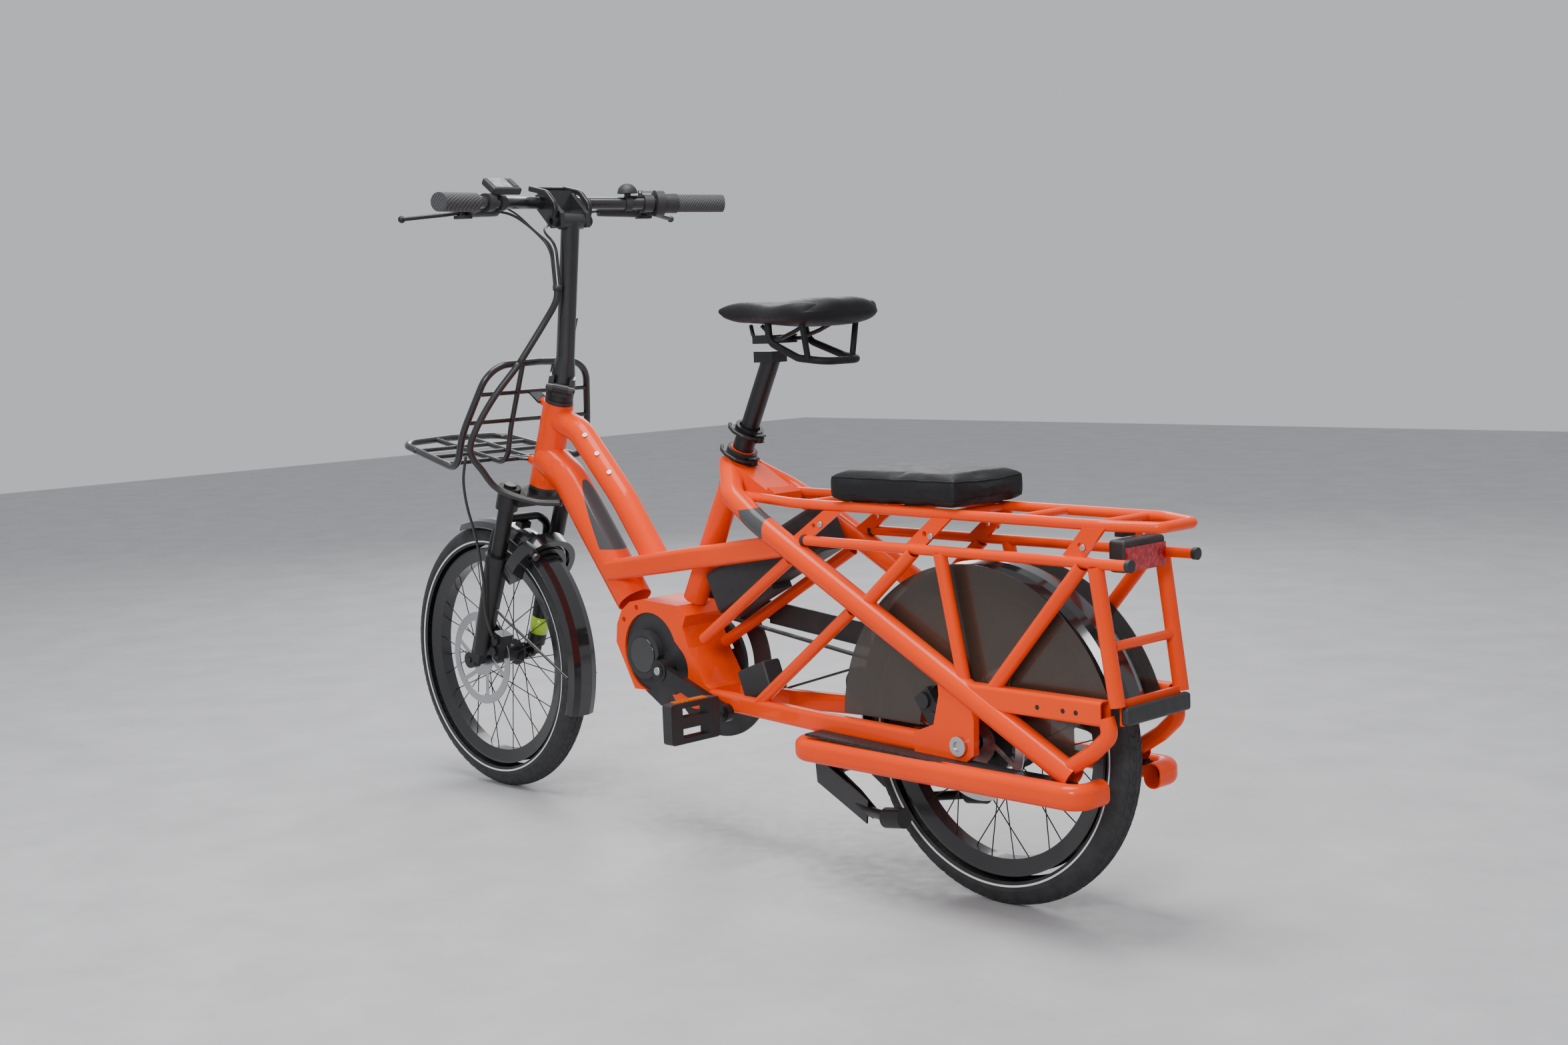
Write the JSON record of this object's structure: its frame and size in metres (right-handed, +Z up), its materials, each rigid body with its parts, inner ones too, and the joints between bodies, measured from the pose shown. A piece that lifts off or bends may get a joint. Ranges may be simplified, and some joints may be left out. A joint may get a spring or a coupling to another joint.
{
  "type": "cargo bicycle",
  "caption": "Long-tail electric cargo bicycle with small wheels, a folding handlebar post, suspension fork, belt drive, rear deck with a cushion and a front rack.",
  "frame": {"origin": "on the ground, under the middle of the bicycle's length and width", "axes": "+X forward, +Y to the rider's left, +Z up"},
  "size_m": [1.868, 0.6558, 1.1588],
  "materials": {
    "frame_paint": "gloss",
    "black_metal": "satin",
    "black_plastic": "matte",
    "tyre_rubber": "matte",
    "rubber": "matte",
    "steel": "satin",
    "alloy_black": "satin",
    "smoke": "gloss",
    "vinyl": "satin",
    "red_lens": "gloss"
  },
  "bodies": {
    "frame": {"head_tube": "frame_paint", "top_tube": "frame_paint", "down_tube": "frame_paint", "seat_tube": "frame_paint", "main_stays": "frame_paint", "motor_shell": "frame_paint", "chainstays": "frame_paint", "side_struts": "frame_paint", "cargo_rack": "frame_paint", "foot_rails": "frame_paint", "foot_decks": "black_plastic", "motor_unit": "black_plastic", "battery": "black_plastic", "drive_belt": "rubber", "belt_guard": "black_plastic", "rear_fender": "black_plastic", "wheel_covers": "smoke", "rear_light_lens": "red_lens", "cushion": "vinyl", "front_rack": "alloy_black", "frame_fittings": "black_plastic", "frame_fasteners": "steel", "steering_harness": "rubber"},
    "steering": {"fork_crown": "alloy_black"},
    "fork_lowers": {"fork_lowers": "alloy_black", "front_fender": "black_plastic", "wheel_lock": "black_plastic", "front_brake_hose": "rubber"},
    "front_wheel": {"front_tyre": "tyre_rubber", "front_rim": "black_metal", "front_hub": "black_metal", "front_rotor": "steel"},
    "lock_bolt": {"lock_bolt": "steel"},
    "handlepost": {"handlepost": "alloy_black"},
    "post_latch": {"handlepost_lever": "alloy_black"},
    "handlebar_unit": {"stem": "alloy_black", "handlebar": "alloy_black", "grips": "rubber", "bar_fittings": "black_plastic", "bar_cables": "rubber"},
    "stem_levers": {"stem_levers": "alloy_black"},
    "display_key": {"display_key": "rubber"},
    "left_brake_lever": {"left_brake_lever": "alloy_black"},
    "right_brake_lever": {"right_brake_lever": "alloy_black"},
    "twist_shifter": {"twist_shifter": "rubber"},
    "bell_striker": {"bell_striker": "steel"},
    "rear_wheel": {"rear_tyre": "tyre_rubber", "rear_rim": "black_metal", "rear_hub": "black_metal", "rear_rotor": "steel"},
    "rear_cog": {"rear_cog": "steel"},
    "crankset": {"crankset": "alloy_black"},
    "left_pedal": {"left_pedal": "black_plastic"},
    "right_pedal": {"right_pedal": "black_plastic"},
    "seat_sleeve": {"seat_sleeve": "alloy_black"},
    "seatpost": {"seatpost": "alloy_black", "saddle": "vinyl"},
    "lower_cam_lever": {"lower_cam_lever": "alloy_black"},
    "upper_cam_lever": {"upper_cam_lever": "alloy_black"},
    "kickstand": {"kickstand": "alloy_black"}
  },
  "joints": [
    {"name": "steering", "type": "hinge", "parent": "frame", "child": "steering", "pos_m": [0.512, 0, 0.599], "axis": [0.3518, 0, -0.9361], "range_deg": [-45, 45], "deforming": ["steering_harness"]},
    {"name": "fork_travel", "type": "slide", "parent": "steering", "child": "fork_lowers", "axis": [-0.3518, 0, 0.9361], "range_m": [0, 0.04], "stiffness_N_per_m": 9000, "deforming": ["front_brake_hose"]},
    {"name": "front_wheel_spin", "type": "hinge", "parent": "fork_lowers", "child": "front_wheel", "pos_m": [0.68, 0, 0.258], "axis": [0, 1, 0], "continuous": true},
    {"name": "lock_slide", "type": "hinge", "parent": "fork_lowers", "child": "lock_bolt", "pos_m": [0.5413, 0, 0.4421], "axis": [0.7986, 0, 0.6018], "range_deg": [0, 142]},
    {"name": "post_fold", "type": "hinge", "parent": "steering", "child": "handlepost", "pos_m": [0.42146, 0.01982, 0.7797], "axis": [-0.6397, -0.7301, -0.2404], "range_deg": [0, 165]},
    {"name": "post_latch_swing", "type": "hinge", "parent": "handlepost", "child": "post_latch", "pos_m": [0.44561, -0.0164, 0.82542], "axis": [0.6397, 0.7301, 0.2404], "range_deg": [0, 80]},
    {"name": "stem_tilt", "type": "hinge", "parent": "handlepost", "child": "handlebar_unit", "pos_m": [0.392, 0, 1.082], "axis": [0, 1, 0], "range_deg": [-15, 30], "deforming": ["bar_cables"]},
    {"name": "stem_lever_swing", "type": "hinge", "parent": "handlebar_unit", "child": "stem_levers", "pos_m": [0.392, 0, 1.082], "axis": [0, -1, 0], "range_deg": [0, 80]},
    {"name": "left_brake_pull", "type": "hinge", "parent": "handlebar_unit", "child": "left_brake_lever", "pos_m": [0.43297, 0.20926, 1.09959], "axis": [0, 0, 1], "range_deg": [0, 18], "stiffness_Nm_per_rad": 0.8},
    {"name": "right_brake_pull", "type": "hinge", "parent": "handlebar_unit", "child": "right_brake_lever", "pos_m": [0.43297, -0.20926, 1.09959], "axis": [0, 0, -1], "range_deg": [0, 18], "stiffness_Nm_per_rad": 0.8},
    {"name": "gear_twist", "type": "hinge", "parent": "handlebar_unit", "child": "twist_shifter", "pos_m": [0.3741, -0.22303, 1.11396], "axis": [-0.3592, -0.9331, -0.0185], "range_deg": [0, 80]},
    {"name": "bell_flick", "type": "hinge", "parent": "handlebar_unit", "child": "bell_striker", "pos_m": [0.39457, -0.16984, 1.13702], "axis": [0, 0, 1], "range_deg": [0, 22], "stiffness_Nm_per_rad": 0.02},
    {"name": "display_press", "type": "slide", "parent": "handlebar_unit", "child": "display_key", "axis": [0.5524, 0, -0.8336], "range_m": [0, 0.0006], "stiffness_N_per_m": 800},
    {"name": "rear_wheel_spin", "type": "hinge", "parent": "frame", "child": "rear_wheel", "pos_m": [-0.589, 0, 0.258], "axis": [0, 1, 0], "continuous": true},
    {"name": "rear_cog_spin", "type": "hinge", "parent": "frame", "child": "rear_cog", "pos_m": [-0.589, 0, 0.258], "axis": [0, 1, 0], "continuous": true},
    {"name": "crank_spin", "type": "hinge", "parent": "frame", "child": "crankset", "pos_m": [0.111, 0, 0.296], "axis": [0, 1, 0], "continuous": true},
    {"name": "left_pedal_spin", "type": "hinge", "parent": "crankset", "child": "left_pedal", "pos_m": [-0.04974, 0.071, 0.24065], "axis": [0, 1, 0], "continuous": true},
    {"name": "right_pedal_spin", "type": "hinge", "parent": "crankset", "child": "right_pedal", "pos_m": [0.27174, -0.071, 0.35135], "axis": [0, 1, 0], "continuous": true},
    {"name": "sleeve_slide", "type": "slide", "parent": "frame", "child": "seat_sleeve", "axis": [-0.4617, 0, 0.887], "range_m": [-0.016, 0.1]},
    {"name": "post_slide", "type": "slide", "parent": "seat_sleeve", "child": "seatpost", "axis": [-0.4617, 0, 0.887], "range_m": [-0.1, 0.03]},
    {"name": "lower_clamp_swing", "type": "hinge", "parent": "frame", "child": "lower_cam_lever", "pos_m": [-0.06912, 0, 0.65678], "axis": [-0.4617, 0, 0.887], "range_deg": [0, 90]},
    {"name": "upper_clamp_swing", "type": "hinge", "parent": "seat_sleeve", "child": "upper_cam_lever", "pos_m": [-0.0872, 0, 0.69584], "axis": [-0.4617, 0, 0.887], "range_deg": [0, 90]},
    {"name": "stand_swing", "type": "hinge", "parent": "frame", "child": "kickstand", "pos_m": [-0.263, 0, 0.17], "axis": [0, -1, 0], "range_deg": [0, 100]}
  ],
  "couplings": [
    {"joint": "rear_cog_spin", "follows": "crank_spin", "ratio": 2.1818}
  ]
}
